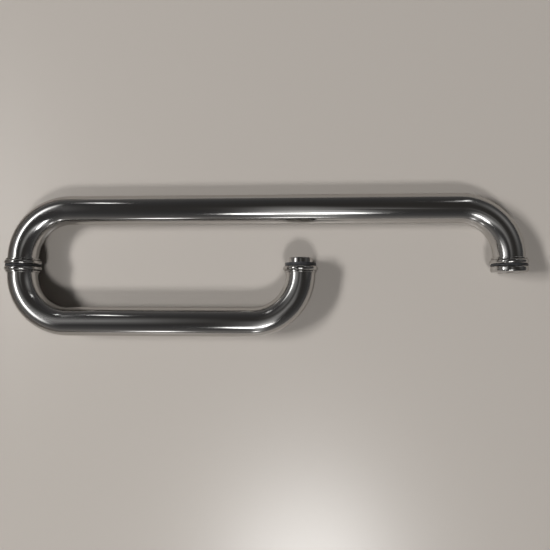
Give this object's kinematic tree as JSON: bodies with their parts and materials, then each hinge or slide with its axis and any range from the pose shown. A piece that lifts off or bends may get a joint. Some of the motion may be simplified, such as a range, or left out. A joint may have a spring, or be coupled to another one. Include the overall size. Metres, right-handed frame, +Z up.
{
  "type": "shower door handle",
  "caption": "Back-to-back shower door handle set: a long towel bar and a shorter pull of bent polished tube that share one post, with ringed posts and capped free ends.",
  "frame": {"origin": "on the shared post's axis, where the two joint gaskets meet (the glass plane)", "axes": "+X along the towel bar from the shared post to its free post, +Y along the posts from the pull to the towel bar, +Z up, away from the table that the set lies on"},
  "size_m": [0.3216, 0.0876, 0.0216],
  "materials": {
    "polished_steel": "mirror polished, with fine handling marks",
    "plain_steel": "turned",
    "gasket_plastic": "matte"
  },
  "bodies": {
    "root": {"towel_bar_tube": "polished_steel", "pull_handle_tube": "polished_steel", "bar_joint_insert": "plain_steel", "bar_joint_ring": "polished_steel", "bar_joint_gasket": "gasket_plastic", "bar_free_insert": "plain_steel", "bar_free_ring": "polished_steel", "bar_free_gasket": "gasket_plastic", "pull_joint_insert": "plain_steel", "pull_joint_ring": "polished_steel", "pull_joint_gasket": "gasket_plastic", "pull_free_insert": "plain_steel", "pull_free_ring": "polished_steel", "pull_free_gasket": "gasket_plastic", "joint_stud": "plain_steel", "bar_cap_gasket": "gasket_plastic", "bar_cap": "polished_steel", "bar_cap_screw": "plain_steel", "pull_cap_gasket": "gasket_plastic", "pull_cap_screw": "polished_steel"}
  },
  "joints": []
}
